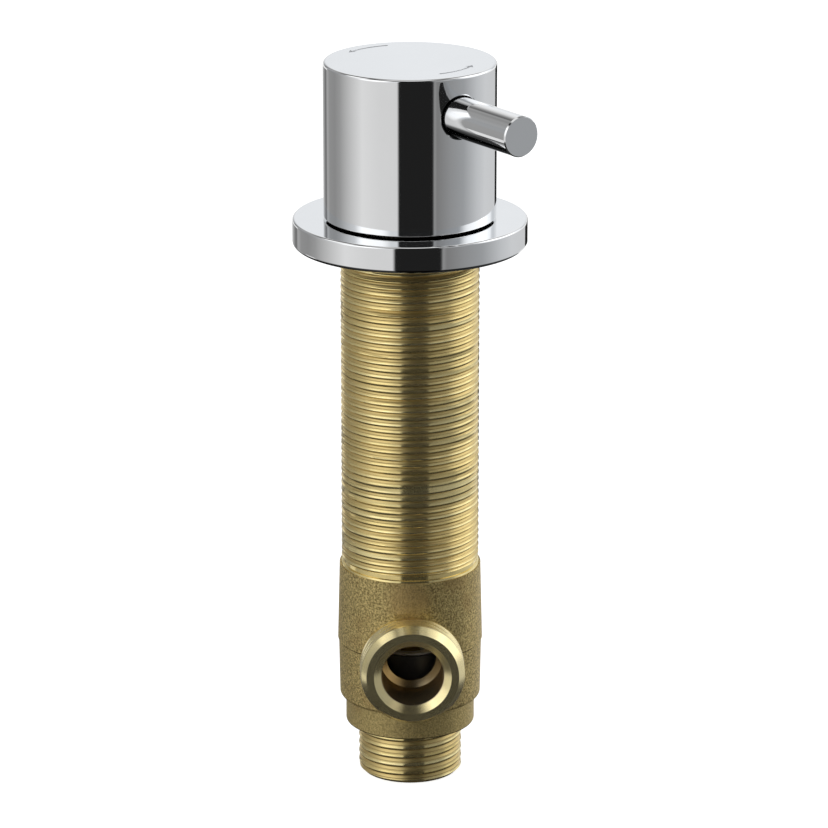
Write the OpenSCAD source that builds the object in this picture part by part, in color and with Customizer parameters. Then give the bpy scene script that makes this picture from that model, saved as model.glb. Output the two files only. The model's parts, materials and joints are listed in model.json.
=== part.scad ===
// Deck-mounted quarter-turn shut-off valve for a dishwasher feed.
// The axis is Z. z = 0 is the underside of the escutcheon, which rests on the worktop.
// The outlet points along -Y and the inlet points straight down. The handle is drawn shut.
// Every length is in millimetres and every angle in degrees.

/* [Shank] */
// Crest diameter of the thread on the long shank
shank_d = 27.7; // [26:0.1:30]
// Length of the thread below the worktop's face
shank_len = 65.3; // [50:0.1:90]
// Wall between the thread's crests and the dry bore inside
shank_wall = 3.55; // [3.2:0.05:4]
// Height of the bright turned band under the thread
band_h = 1.3; // [1:0.1:4]
// Depth of the turned band below the thread's crests
band_depth = 0.3; // [0.1:0.05:0.5]

/* [Cast body] */
// How far the casting's upper rim stands proud of the thread
cast_step = 0.4; // [0.2:0.05:1]
// How much the casting swells from its rim to the parting crease
cast_swell = 0.4; // [0:0.05:1]
// Radial step at the parting crease
crease_step = 0.2; // [0.05:0.05:0.4]
// Height of the casting from its rim to the crease
cast_h = 16.3; // [14:0.1:20]
// Height of the belt under the crease
belt_h = 11.9; // [10:0.1:15]
// Height of the neck under the belt
neck_h = 5.65; // [5:0.05:9]
// Radial step from the belt in to the neck
neck_step = 1.2; // [0.6:0.1:2]
// Rounding at the foot of the belt
belt_round = 0.6; // [0.3:0.1:0.8]
// Fillet between the casting's belt and its neck
neck_fillet = 0.4; // [0.2:0.1:0.6]
// Rounding at the foot of the neck
shoulder_round = 0.3; // [0.1:0.1:0.8]
// Height of the flare from the plain band to the casting
flare_h = 0.4; // [0.2:0.1:0.8]

/* [Inlet] */
// Crest diameter of the inlet thread
inlet_d = 20.955; // [18:0.005:22]
// Length of the inlet thread
inlet_len = 10.7; // [7:0.1:14]
// Chamfer on the inlet thread's end
inlet_chamfer = 0.8; // [0.3:0.1:1.2]
// Wall between the inlet thread's crests and its bore
inlet_wall = 3.48; // [3:0.01:4]

/* [Outlet] */
// Crest diameter of the outlet thread
outlet_d = 20.955; // [18:0.005:22]
// Distance from the valve's axis to the outlet's end face
outlet_reach = 20.6; // [18:0.1:26]
// Distance from the casting's rim down to the outlet's axis
outlet_drop = 17.6; // [16:0.1:20]
// Length of the chamfer on the outlet thread's end
outlet_chamfer = 2; // [0.3:0.1:2.5]
// Width of the flat ring between the bevel and the chamfer on the end face
outlet_face = 1.5; // [1:0.1:2]
// Depth of the bevel inside the sealing ring
outlet_bevel = 2; // [0.5:0.1:2]
// Radial width of that bevel
outlet_bevel_w = 1.5; // [1:0.1:2.2]
// Diameter of the outlet bore
outlet_bore_d = 12.5; // [10:0.1:13]
// Diameter of the hole from the outlet bore into the chamber
outlet_hole_d = 10; // [8:0.1:12]
// Length of that hole past the chamber's wall
outlet_end_wall = 2.3; // [1:0.1:3]
// Depth of the cone that the drill leaves round the hole
drill_tip = 0.9; // [0.2:0.1:1.2]
// Depth of the relief that the threading tool cuts round the outlet
relief_depth = 0.65; // [0.3:0.05:1.5]
// Radial room in that relief for a union nut
relief_room = 0.95; // [0.85:0.05:1.5]
// How far the boss is turned down behind the thread
root_step = 0.25; // [0.1:0.05:0.5]

/* [Escutcheon] */
// How far the escutcheon stands out past the knob
escutcheon_rim = 6.2; // [4:0.05:10]
// Height of the escutcheon
escutcheon_h = 5.4; // [4:0.1:8]
// Radius of the rounds on the escutcheon's two edges
escutcheon_round = 0.8; // [0.3:0.1:1.2]
// Width of the escutcheon's threaded hub
escutcheon_hub = 2.6; // [1.5:0.1:3]
// Width of the flat seat between the gasket and the rounded edge
seat_land = 1.95; // [1.2:0.05:2.5]
// Thickness of the gasket let into the escutcheon's underside
gasket_h = 2; // [1:0.1:2.5]

/* [Knob] */
// Height of the knob
knob_h = 30.85; // [26:0.05:36]
// Gap between the knob's rim and the escutcheon
knob_gap = 0.7; // [0.5:0.1:3]
// Radial room between the shank's thread and the knob
knob_room = 0.85; // [0.5:0.05:1.5]
// Side wall of the knob
knob_wall = 2.4; // [1.8:0.1:3]
// Thickness of the knob's top
knob_top = 3; // [2:0.1:3.4]
// Radius of the rounds on the knob's outer edges
knob_round = 0.4; // [0.2:0.1:0.8]
// Wall of the hub in the middle of the knob
hub_wall = 2.4; // [1.5:0.1:3]
// How far the hub reaches below the lever's boss
hub_lip = 0.4; // [0.2:0.1:1]

/* [Lever] */
// Diameter of the lever pin
lever_d = 8; // [6:0.1:9]
// Distance from the knob's axis to the lever's end face
lever_reach = 36.4; // [30:0.1:50]
// Distance from the knob's top down to the lever's axis
lever_drop = 8; // [7.2:0.1:9]
// Direction of the shut lever, turned from the outlet's direction towards +X
lever_angle = 34; // [0:1:90]
// Chamfer on the lever's end
lever_chamfer = 0.35; // [0.1:0.05:0.8]
// Diameter of the lever's threaded tail
lever_tail_d = 6; // [5:0.1:6]
// Chamfer on the end of that tail
tail_chamfer = 0.5; // [0.2:0.1:1]
// Depth of the counterbore that the lever stands in
lever_seat = 1.3; // [0.3:0.1:1.5]
// Radial shadow gap between the lever and its counterbore
lever_gap = 0.5; // [0.3:0.05:1]
// Wall of the knob's inner boss round the lever's seat
lever_boss_wall = 1.8; // [1.2:0.1:2.2]

/* [Spindle] */
// Diameter of the extension spindle
spindle_d = 9; // [8.8:0.1:10]
// Diameter over the spline's teeth
spline_d = 8; // [7:0.1:8.4]
// Depth of the spline's teeth
spline_depth = 0.4; // [0.2:0.05:0.6]
// Room over the end of the spindle's spline, under the top of the knob
spline_room = 0.4; // [0.2:0.1:1]
// Number of teeth on the splines
spline_teeth = 20; // [12:1:24]
// Length of the socket over the cartridge stem
socket_len = 9; // [7:0.1:12]
// Wall of that socket outside the spline
socket_wall = 2.2; // [1.5:0.1:2.6]
// Diameter of the cross pin through the socket
cross_pin_d = 2; // [1.5:0.1:2.5]
// Wall of the moulded insert in the knob's hub
insert_wall = 2; // [1.5:0.1:2.5]
// Height of the insert's foot above the mouth of the hub
insert_lift = 0.2; // [0.1:0.1:0.5]
// Depth of the flat that keys the insert in the hub
insert_flat_depth = 0.9; // [0.5:0.1:1.3]
// Height of the collar that keeps the spindle in
collar_h = 2; // [1:0.1:3]
// Radial width of that collar
collar_w = 3; // [2:0.1:4]
// Thickness of the thrust washer on the collar
thrust_h = 1; // [0.5:0.1:2]
// Room between the socket's mouth and the circlip under it
socket_gap = 0.3; // [0.2:0.1:1]
// Room over the stem's end in the socket
socket_room = 0.2; // [0.1:0.1:0.5]
// Solid length between the socket's floor and the plain rod
socket_neck = 2; // [1:0.1:3]

/* [Gland bush] */
// Height of the bush's hexagon head
bush_head_h = 3; // [2:0.1:4]
// Length of the bush's threaded part
bush_len = 8; // [6:0.1:12]
// Gap between the bush's head and the knob's hub
bush_gap = 0.6; // [0.4:0.1:1.5]
// Section diameter of the bush's sealing ring
bush_ring_d = 1.5; // [1:0.1:1.8]
// How far the hexagon's corners stay inside the shank's thread
bush_head_inset = 0.1; // [0:0.05:0.5]

/* [Cartridge] */
// Radial room for the cartridge's hexagon in the shank's bore
wrench_room = 0.5; // [0.3:0.1:0.8]
// Step from the shank's bore in to the cartridge thread
thread_step = 0.8; // [0.6:0.05:1.2]
// Step from the cartridge thread in to the chamber
chamber_step = 1.2; // [0.8:0.1:1.6]
// Height of the cartridge's hexagon
hex_h = 6; // [4:0.1:9]
// Length of the cartridge's thread
cartridge_thread_len = 7; // [5:0.1:10]
// Length of the sealing part under that thread
cartridge_seal_len = 5; // [4:0.1:7]
// Length of the spigot inside the cage
spigot_len = 3.3; // [2:0.1:4]
// Height of the cage's two windows
window_h = 5; // [4:0.1:6]
// How far each window sits below the moving disc's top and the housing
window_drop = 0.3; // [0.1:0.1:0.6]
// Half the angle of each window
window_half = 50; // [30:1:65]
// Wall of the cage
cage_wall = 0.9; // [0.7:0.1:1.2]
// Radial flow gap between the cage and the chamber
cage_gap = 0.5; // [0.2:0.1:0.9]
// Diameter of the cartridge stem in its bore
stem_d = 8.2; // [8.2:0.1:9]
// Section diameter of the stem's two sealing rings
stem_ring_d = 1.2; // [0.8:0.1:1.3]
// Section diameter of the sealing ring round the housing
housing_ring_d = 1.6; // [1:0.1:2]
// Thickness of the friction washer under the housing
friction_h = 0.5; // [0.3:0.1:1]
// Height of the stem's foot over the moving disc
foot_h = 2.2; // [1.5:0.1:2.5]
// Width of the stem's foot and of its tang
foot_w = 4.6; // [3:0.1:5]
// Radial room between that foot and the cage
foot_room = 0.3; // [0.1:0.1:0.6]
// How deep the tang reaches into the moving disc
tang_h = 1.2; // [0.8:0.1:1.8]
// Radial width of the stem's collar under the friction washer
stem_collar_w = 0.9; // [0.6:0.1:1.2]
// How far that collar comes down over the stem's foot
collar_drop = 0.6; // [0.3:0.1:1]
// Radial width of the friction washer past that collar
friction_w = 0.9; // [0.4:0.1:1]

/* [Discs] */
// Thickness of each ceramic disc
disc_h = 3; // [2.4:0.1:4]
// Half the angle of each opening in the discs
opening_half = 40; // [20:1:42]
// Radius inside the openings
opening_inner = 1.6; // [1:0.1:2.5]
// Distance from the outlet's axis down to the seat
seat_drop = 8.3; // [8:0.1:10]
// Height of the rubber seat seal
seal_h = 2.2; // [1.6:0.1:3]
// Radial wall of the seat seal
seal_wall = 1.1; // [0.8:0.1:1.5]
// Radial wall of the support ring inside the seal
support_wall = 0.5; // [0.3:0.05:0.8]
// Thickness of the ledge that the seat lies on
ledge_h = 3.2; // [2:0.1:4]
// How far the cage hangs clear of the ledge
cage_lift = 0.8; // [0.4:0.1:1.2]
// Width of the ribs that key the fixed disc
key_w = 2.4; // [1.5:0.1:3]
// Radial depth of those ribs
key_depth = 0.7; // [0.4:0.1:1]

/* [Quarter-turn stop] */
// Height of the stop washer on the stem
stop_h = 1.2; // [0.8:0.1:2]
// Radial width of the stop washer round the stem
stop_w = 2.9; // [2.4:0.1:3]
// Radial reach of the stop washer's lug
stop_lug = 1.2; // [0.8:0.1:1.4]
// Spare angle past the lug at each end of its travel
stop_spare = 1; // [0.5:0.5:3]
// Half the angle that the lug spans
lug_half = 15; // [10:1:25]
// Thickness of the circlip over the stop washer
clip_h = 0.7; // [0.5:0.1:1]
// Radial width of the circlip outside the spline
clip_w = 1.4; // [0.8:0.1:1.8]
// Opening of the circlip
clip_gap = 3; // [2:0.1:4]
// Depth of the circlip's groove under the spline's teeth
clip_bite = 0.2; // [0.1:0.05:0.4]

/* [Clearances] */
// Radial running clearance of a turning shaft
run = 0.06; // [0.03:0.01:0.09]
// Clearance between pieces that seat on each other
seat = 0.05; // [0.02:0.01:0.08]
// Clearance of the discs in the cage
disc_play = 0.2; // [0.1:0.05:0.3]
// Extra height of each seal groove past its ring, on each side
groove_room = 0.2; // [0.1:0.05:0.3]
// Radial land between the discs' openings, their support ring and the passage
seat_margin = 0.1; // [0.05:0.05:0.3]

/* [Hidden] */
$fn = 96;
turn = 90;
cut = 1;
shank_r = shank_d / 2;
bore_r = shank_r - shank_wall;
// Heights from the worktop up
knob_z = escutcheon_h + knob_gap;
top_z = knob_z + knob_h;
ceiling_z = top_z - knob_top;
lever_z = top_z - lever_drop;
lever_r = lever_d / 2;
boss_r = lever_r + lever_boss_wall;
hub_z = lever_z - boss_r - hub_lip;
bush_top_z = hub_z - bush_gap;
shank_top_z = bush_top_z - bush_head_h;
bush_z = shank_top_z - bush_len;
collar_z = bush_z - 2 * seat - thrust_h - collar_h;
// Radii of the knob and the escutcheon
cavity_r = shank_r + knob_room;
knob_r = cavity_r + knob_wall;
escutcheon_r = knob_r + escutcheon_rim;
gasket_inner = shank_r + escutcheon_hub;
gasket_outer = escutcheon_r - escutcheon_round - seat_land;
// Heights from the worktop down
band_z = -shank_len;
cast_z = band_z - band_h;
crease_z = cast_z - cast_h;
belt_z = crease_z - belt_h;
shoulder_z = belt_z - neck_h;
inlet_z = shoulder_z - inlet_len;
outlet_z = cast_z - outlet_drop;
// Radii of the casting
cast_r = shank_r + cast_step;
crease_r = cast_r + cast_swell;
neck_r = cast_r - neck_step;
inlet_r = inlet_d / 2;
inlet_bore_r = inlet_r - inlet_wall;
outlet_r = outlet_d / 2;
outlet_bore_r = outlet_bore_d / 2;
ring_r = outlet_bore_r + outlet_bevel_w;
relief_y = crease_r - relief_depth;
// The cartridge fits the bore it is lowered through
hex_r = bore_r - wrench_room;
thread_r = bore_r - thread_step;
chamber_r = thread_r - chamber_step;
cage_r = chamber_r - cage_gap;
cage_bore_r = cage_r - cage_wall;
disc_r = cage_bore_r - disc_play;
seal_r = disc_r - seal_wall;
support_r = seal_r - support_wall;
opening_r = support_r - seat_margin;
passage_r = support_r + seat_margin;
stem_r = stem_d / 2;
stem_bore_r = stem_r + run;
collar_r = stem_r + stem_collar_w;
stop_r = stem_r + stop_w;
// Heights of the cartridge's stack, from its seat up
seat_z = outlet_z - seat_drop;
fixed_z = seat_z + seal_h;
moving_z = fixed_z + disc_h;
foot_z = moving_z + disc_h;
housing_z = foot_z + window_h;
ring_z = housing_z + spigot_len;
step_z = ring_z + cartridge_seal_len;
hex_z = step_z + cartridge_thread_len;
hex_top_z = hex_z + hex_h;
washer_top_z = hex_top_z + seat + stop_h;
clip_z = washer_top_z + seat;
socket_z = clip_z + clip_h + socket_gap;
socket_floor_z = socket_z + socket_len - socket_neck / 2;
stem_top_z = socket_floor_z - socket_room;
spline_r = spline_d / 2;
clip_r = spline_r - spline_depth - clip_bite;
stem_ring_heights = [ring_z, (step_z + hex_z) / 2];
spindle_r = spindle_d / 2;
socket_r = spline_r + seat + socket_wall;
insert_r = spline_r + seat + insert_wall;
hub_r = insert_r + seat + hub_wall;
bush_bore_r = spindle_r + run;

// Points of an arc about [x, z], for a profile that is revolved
function arc(x, z, r, from, to, steps = 5) = [
  for (i = [0:steps])
    let(a = from + (to - from) * i / steps) [x + r * cos(a), z + r * sin(a)]
];

// Outline of a spline's teeth, grown by the clearance of its socket
function teeth(grow) = [
  for (i = [0:2 * spline_teeth - 1])
    let(a = i * 180 / spline_teeth, r = spline_r + grow - (i % 2) * spline_depth) [r * cos(a), r * sin(a)]
];

module spline(z_from, z_to, grow = 0) {
  translate([0, 0, z_from]) linear_extrude(z_to - z_from) polygon(teeth(grow));
}

module rod(r, z_from, z_to) {
  translate([0, 0, z_from]) cylinder(r = r, h = z_to - z_from);
}

module ring(r_out, r_in, z_from, z_to) {
  difference() {
    rod(r_out, z_from, z_to);
    rod(r_in, z_from - cut, z_to + cut);
  }
}

// A sealing ring that rests inside radius r_out, at mid-height z
module seal_ring(r_out, section, z) {
  rotate_extrude() translate([r_out - section / 2, z]) circle(d = section, $fn = 32);
}

// A wedge of half-angle half about +X, for cutting openings
module wedge(half, reach, z_from, z_to) {
  translate([0, 0, z_from]) linear_extrude(z_to - z_from)
    polygon([[0, 0], [reach, -reach * tan(half)], [reach, reach * tan(half)]]);
}

// Places a child that stands along +Z so that it stands along the outlet
module at_outlet() {
  translate([0, 0, outlet_z]) rotate([90, 0, 0]) children();
}

// Places a child that stands along +Z so that it stands along the lever
module at_lever() {
  translate([0, 0, lever_z]) rotate([0, 0, lever_angle]) rotate([90, 0, 0]) children();
}

// The outside of the shank, the casting and the inlet, as one turned form
module turned_form() {
  band_r = shank_r - band_depth;
  rotate_extrude() polygon(concat(
    [[0, inlet_z], [inlet_r - inlet_chamfer, inlet_z], [inlet_r, inlet_z + inlet_chamfer]],
    [[inlet_r, shoulder_z]],
    arc(neck_r - shoulder_round, shoulder_z + shoulder_round, shoulder_round, -90, 0, 3),
    arc(neck_r + neck_fillet, belt_z - neck_fillet, neck_fillet, 180, 90, 3),
    arc(cast_r - belt_round, belt_z + belt_round, belt_round, -90, 0),
    [[crease_r - crease_step, crease_z], [crease_r, crease_z]],
    [[cast_r, cast_z], [band_r, cast_z + flare_h], [band_r, band_z]],
    [[shank_r, band_z], [shank_r, shank_top_z], [0, shank_top_z]]
  ));
}

// Everything that is bored along the valve's axis, as one turned form
module turned_bore() {
  drill_cone = inlet_bore_r - passage_r;
  rotate_extrude() polygon([
    [0, inlet_z - cut], [inlet_bore_r, inlet_z - cut],
    [inlet_bore_r, seat_z - ledge_h - drill_cone], [passage_r, seat_z - ledge_h],
    [passage_r, seat_z], [chamber_r, seat_z],
    [chamber_r, step_z], [thread_r, step_z],
    [thread_r, hex_z], [bore_r, hex_z],
    [bore_r, shank_top_z + cut], [0, shank_top_z + cut]
  ]);
}

module valve_body() {
  hole_end = outlet_reach + cut;
  root_r = outlet_r - root_step;
  end_wall = sqrt(chamber_r * chamber_r - pow(outlet_hole_d / 2, 2)) + outlet_end_wall;
  color([0.74, 0.63, 0.36]) difference() {
    union() {
      difference() {
        turned_form();
        at_outlet() rod(outlet_r + relief_room, relief_y, hole_end);
      }
      at_outlet() rotate_extrude() polygon([
        [0, chamber_r + cut], [root_r, chamber_r + cut], [root_r, relief_y],
        [outlet_r, relief_y], [outlet_r, outlet_reach - outlet_chamfer],
        [ring_r + outlet_face, outlet_reach], [0, outlet_reach]
      ]);
    }
    turned_bore();
    at_outlet() rotate_extrude() polygon([
      [0, 0], [outlet_hole_d / 2, 0], [outlet_hole_d / 2, end_wall], [outlet_bore_r, end_wall + drill_tip],
      [outlet_bore_r, outlet_reach - outlet_bevel], [ring_r, outlet_reach], [ring_r, hole_end],
      [0, hole_end]
    ]);
  }
}

module escutcheon() {
  r = escutcheon_round;
  color([0.8, 0.82, 0.84]) rotate_extrude() polygon(concat(
    [[shank_r + seat, 0], [gasket_inner, 0], [gasket_inner, gasket_h], [gasket_outer, gasket_h]],
    [[gasket_outer, 0]],
    arc(escutcheon_r - r, r, r, -90, 0),
    arc(escutcheon_r - r, escutcheon_h - r, r, 0, 90),
    [[shank_r + seat, escutcheon_h]]
  ));
}

module escutcheon_gasket() {
  color([0.12, 0.12, 0.13]) ring(gasket_outer - seat, gasket_inner + seat, 0, gasket_h - seat);
}

module gland_bush() {
  groove_r = spindle_r + run / 2 + bush_ring_d + seat;
  groove_z = shank_top_z - bush_len / 2;
  groove_half = bush_ring_d / 2 + groove_room;
  color([0.8, 0.68, 0.38]) difference() {
    union() {
      translate([0, 0, shank_top_z]) cylinder(r = shank_r - bush_head_inset, h = bush_head_h, $fn = 6);
      rod(bore_r - seat, bush_z, shank_top_z);
    }
    rod(bush_bore_r, bush_z - cut, bush_top_z + cut);
    rod(groove_r, groove_z - groove_half, groove_z + groove_half);
  }
}

module gland_o_ring() {
  color([0.1, 0.1, 0.1])
    seal_ring(spindle_r + run / 2 + bush_ring_d, bush_ring_d, shank_top_z - bush_len / 2);
}

module cartridge_housing() {
  body_r = chamber_r - seat;
  groove_r = body_r - housing_ring_d;
  groove_z = ring_z + cartridge_seal_len / 2;
  groove_half = housing_ring_d / 2 + groove_room;
  fence_r = stop_r + stop_lug + seat;
  color([0.78, 0.66, 0.36]) difference() {
    union() {
      rotate_extrude() polygon([
        [0, housing_z], [cage_bore_r - seat, housing_z], [cage_bore_r - seat, ring_z],
        [body_r, ring_z], [body_r, groove_z - groove_half], [groove_r, groove_z - groove_half],
        [groove_r, groove_z + groove_half], [body_r, groove_z + groove_half],
        [body_r, step_z], [thread_r - seat, step_z], [thread_r - seat, hex_z],
        [stop_r, hex_z], [stop_r, hex_top_z], [0, hex_top_z]
      ]);
      translate([0, 0, hex_z]) cylinder(r = hex_r, h = hex_h, $fn = 6);
      difference() {
        rod(fence_r, hex_z + hex_h / 2, washer_top_z);
        rod(fence_r - stop_lug, hex_top_z, washer_top_z + cut);
        stop_place() wedge(lug_half + turn / 2 + stop_spare, hex_r, hex_top_z, washer_top_z + cut);
      }
    }
    rod(stem_bore_r, housing_z - cut, washer_top_z + cut);
  }
}

// The middle of the lug's travel, a quarter turn anticlockwise from the shut lever
module stop_place() {
  rotate([0, 0, lever_angle + turn / 2]) children();
}

module housing_o_ring() {
  color([0.1, 0.1, 0.1])
    seal_ring(chamber_r - seat / 2, housing_ring_d - seat, ring_z + cartridge_seal_len / 2);
}

module disc_cage() {
  bottom = seat_z + cage_lift;
  key_top = moving_z - seat;
  color([0.14, 0.14, 0.15]) union() {
    difference() {
      ring(cage_r, cage_bore_r, bottom, ring_z - seat);
      for (side = [90, -90])
        rotate([0, 0, side]) wedge(window_half, cage_r * 1.5, foot_z - window_drop, housing_z - window_drop);
    }
    for (side = [0, 180])
      rotate([0, 0, side]) translate([cage_bore_r - key_depth, -key_w / 2, bottom])
        cube([key_depth + cage_wall / 2, key_w, key_top - bottom]);
  }
}

// A disc with the two openings that the quarter turn lines up
module disc(z, angle) {
  difference() {
    rod(disc_r, z, z + disc_h);
    for (side = [0, 180]) rotate([0, 0, angle + side]) intersection() {
      ring(opening_r, opening_inner, z - cut, z + disc_h + cut);
      wedge(opening_half, disc_r, z - 2 * cut, z + disc_h + 2 * cut);
    }
  }
}

// The two notches that take the cage's ribs
module key_cuts(z_from, z_to) {
  for (side = [0, 180])
    rotate([0, 0, side]) translate([cage_bore_r - key_depth - seat, -key_w / 2 - seat, z_from])
      cube([key_depth * 3, key_w + 2 * seat, z_to - z_from]);
}

module fixed_disc() {
  color([0.9, 0.9, 0.88]) difference() {
    disc(fixed_z, 0);
    key_cuts(fixed_z - cut, moving_z + cut);
  }
}

module seat_seal() {
  color([0.1, 0.1, 0.1]) difference() {
    ring(disc_r, seal_r, seat_z, fixed_z);
    key_cuts(seat_z - cut, fixed_z + cut);
  }
}

module seal_support_ring() {
  color([0.86, 0.86, 0.82]) ring(seal_r - seat / 2, support_r, seat_z + cage_lift, fixed_z);
}

module knob() {
  r = knob_round;
  hub_bore = insert_r + seat;
  color([0.8, 0.82, 0.84]) difference() {
    union() {
      rotate_extrude() polygon(concat(
        [[cavity_r, knob_z]],
        arc(knob_r - r, knob_z + r, r, -90, 0, 3),
        arc(knob_r - r, top_z - r, r, 0, 90, 3),
        [[0, top_z], [0, ceiling_z], [cavity_r, ceiling_z]]
      ));
      rod(hub_r, hub_z, ceiling_z + cut);
      at_lever() rod(boss_r, 0, cavity_r + cut / 2);
    }
    difference() {
      rod(hub_bore, hub_z - cut, ceiling_z);
      insert_flat(hub_bore);
    }
    at_lever() rod(lever_tail_d / 2 + seat, 0, knob_r + cut);
    at_lever() rod(lever_r + lever_gap, knob_r - lever_seat, knob_r + cut);
  }
}

// The flat that keys the moulded insert in the hub, on the side away from the lever
module insert_flat(r) {
  rotate([0, 0, lever_angle]) translate([-2 * r, r - insert_flat_depth, hub_z - 2 * cut])
    cube([4 * r, r, knob_h]);
}

module lever_pin() {
  seat_y = knob_r - lever_seat;
  tail_r = lever_tail_d / 2;
  color([0.8, 0.82, 0.84]) at_lever() rotate_extrude() polygon([
    [0, spline_r + seat], [tail_r - tail_chamfer, spline_r + seat],
    [tail_r, spline_r + seat + tail_chamfer],
    [tail_r, seat_y], [lever_r, seat_y], [lever_r, lever_reach - lever_chamfer],
    [lever_r - lever_chamfer, lever_reach], [0, lever_reach]
  ]);
}

module spline_insert() {
  color([0.9, 0.9, 0.88]) difference() {
    rod(insert_r, hub_z + insert_lift, ceiling_z - seat);
    insert_flat(insert_r);
    spline(hub_z - cut, ceiling_z + cut, seat);
    at_lever() rod(lever_tail_d / 2 + seat, 0, knob_r);
  }
}

module extension_spindle() {
  color([0.8, 0.68, 0.38]) difference() {
    union() {
      rod(socket_r, socket_z, socket_z + socket_len + socket_neck);
      rod(spindle_r, socket_z + socket_len, hub_z);
      rod(spindle_r + collar_w, collar_z, collar_z + collar_h);
      spline(hub_z - cut, ceiling_z - spline_room);
    }
    spline(socket_z - cut, socket_floor_z, seat);
    cross_hole(cross_pin_d / 2 + seat / 2, socket_r + cut);
  }
}

// The cross hole through the socket and the stem, square to the valve's axis
module cross_hole(r, half) {
  translate([-half, 0, socket_z + socket_len / 2]) rotate([0, 90, 0]) cylinder(r = r, h = 2 * half);
}

module coupling_pin() {
  color([0.72, 0.72, 0.74]) cross_hole(cross_pin_d / 2, socket_r - seat);
}

module thrust_washer() {
  color([0.9, 0.9, 0.88])
    ring(spindle_r + collar_w, spindle_r + seat, bush_z - seat - thrust_h, bush_z - seat);
}

module cartridge_stem() {
  groove_r = stem_bore_r - run / 2 - stem_ring_d - seat / 2;
  groove_half = stem_ring_d / 2 + groove_room;
  washer_z = housing_z - seat - friction_h;
  color([0.78, 0.66, 0.36]) difference() {
    union() {
      intersection() {
        rod(disc_r - foot_room, foot_z - tang_h, foot_z + foot_h);
        translate([-disc_r, -foot_w / 2, foot_z - tang_h]) cube([2 * disc_r, foot_w, tang_h + foot_h]);
      }
      rod(collar_r, foot_z + foot_h - collar_drop, washer_z - seat);
      rod(stem_r, washer_z - 2 * seat, hex_top_z);
      spline(hex_top_z - cut, stem_top_z);
    }
    for (z = stem_ring_heights)
      ring(stem_r + cut, groove_r, z - groove_half, z + groove_half);
    ring(stem_r + cut, clip_r, clip_z - seat / 2, clip_z + clip_h + seat / 2);
    cross_hole(cross_pin_d / 2 + seat / 2, socket_r);
  }
}

module stem_o_rings() {
  color([0.1, 0.1, 0.1])
    for (z = stem_ring_heights) seal_ring(stem_bore_r - run / 2, stem_ring_d, z);
}

module friction_washer() {
  color([0.9, 0.9, 0.88])
    ring(collar_r + friction_w, stem_r + seat, housing_z - seat - friction_h, housing_z - seat);
}

module stop_washer() {
  bottom = hex_top_z + seat;
  color([0.72, 0.72, 0.74]) difference() {
    union() {
      rod(stop_r, bottom, washer_top_z);
      rotate([0, 0, lever_angle]) intersection() {
        rod(stop_r + stop_lug, bottom, washer_top_z);
        wedge(lug_half, stop_r + 2 * stop_lug, bottom, washer_top_z);
      }
    }
    spline(bottom - cut, washer_top_z + cut, seat);
  }
}

module stem_circlip() {
  color([0.72, 0.72, 0.74]) difference() {
    ring(spline_r + clip_w, clip_r + seat / 2, clip_z, clip_z + clip_h);
    translate([0, -clip_gap / 2, clip_z - cut]) cube([spline_r + clip_w + cut, clip_gap, clip_h + 2 * cut]);
  }
}

module moving_disc() {
  color([0.9, 0.9, 0.88]) difference() {
    disc(moving_z, 90);
    translate([-disc_r, -foot_w / 2 - seat, foot_z - tang_h - seat])
      cube([2 * disc_r, foot_w + 2 * seat, tang_h + cut]);
  }
}

valve_body();
escutcheon();
escutcheon_gasket();
gland_bush();
gland_o_ring();
cartridge_housing();
housing_o_ring();
disc_cage();
fixed_disc();
seat_seal();
seal_support_ring();
knob();
lever_pin();
spline_insert();
extension_spindle();
thrust_washer();
coupling_pin();
cartridge_stem();
stem_o_rings();
friction_washer();
stop_washer();
stem_circlip();
moving_disc();
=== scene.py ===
import json
import math

import bmesh
import bpy
from mathutils import Matrix, Vector, noise


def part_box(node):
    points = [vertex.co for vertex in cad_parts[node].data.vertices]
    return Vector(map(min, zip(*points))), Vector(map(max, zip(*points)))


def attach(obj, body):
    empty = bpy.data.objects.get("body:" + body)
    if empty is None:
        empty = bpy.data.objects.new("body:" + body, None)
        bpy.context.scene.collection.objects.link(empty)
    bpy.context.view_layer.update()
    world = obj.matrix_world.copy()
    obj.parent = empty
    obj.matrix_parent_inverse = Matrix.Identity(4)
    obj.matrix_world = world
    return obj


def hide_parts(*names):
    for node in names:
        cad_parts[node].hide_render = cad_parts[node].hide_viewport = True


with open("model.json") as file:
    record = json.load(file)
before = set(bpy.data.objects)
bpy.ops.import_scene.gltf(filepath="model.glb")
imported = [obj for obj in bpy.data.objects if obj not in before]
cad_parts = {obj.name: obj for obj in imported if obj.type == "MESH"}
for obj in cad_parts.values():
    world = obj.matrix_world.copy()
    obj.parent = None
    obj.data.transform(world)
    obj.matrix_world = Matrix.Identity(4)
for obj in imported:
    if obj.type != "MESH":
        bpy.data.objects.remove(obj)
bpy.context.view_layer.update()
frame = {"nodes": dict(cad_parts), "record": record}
mm = 0.001
cadNodes = frame["nodes"]
mountOf = {m["name"]: m for m in frame["record"]["mounts"]}
outletHeight = mountOf["outlet_thread"]["pos_m"][2]


# The camera looks down a little, from just left of the outlet

cameraSetup = {
    "aim": (0.8 * mm, 0, -35.54 * mm),
    "azimuth": -1.6,
    "elevation": 17.58,
    "distance": 888.4 * mm,
    "lens": 192.76,
    "sensor": 36,
}


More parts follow.
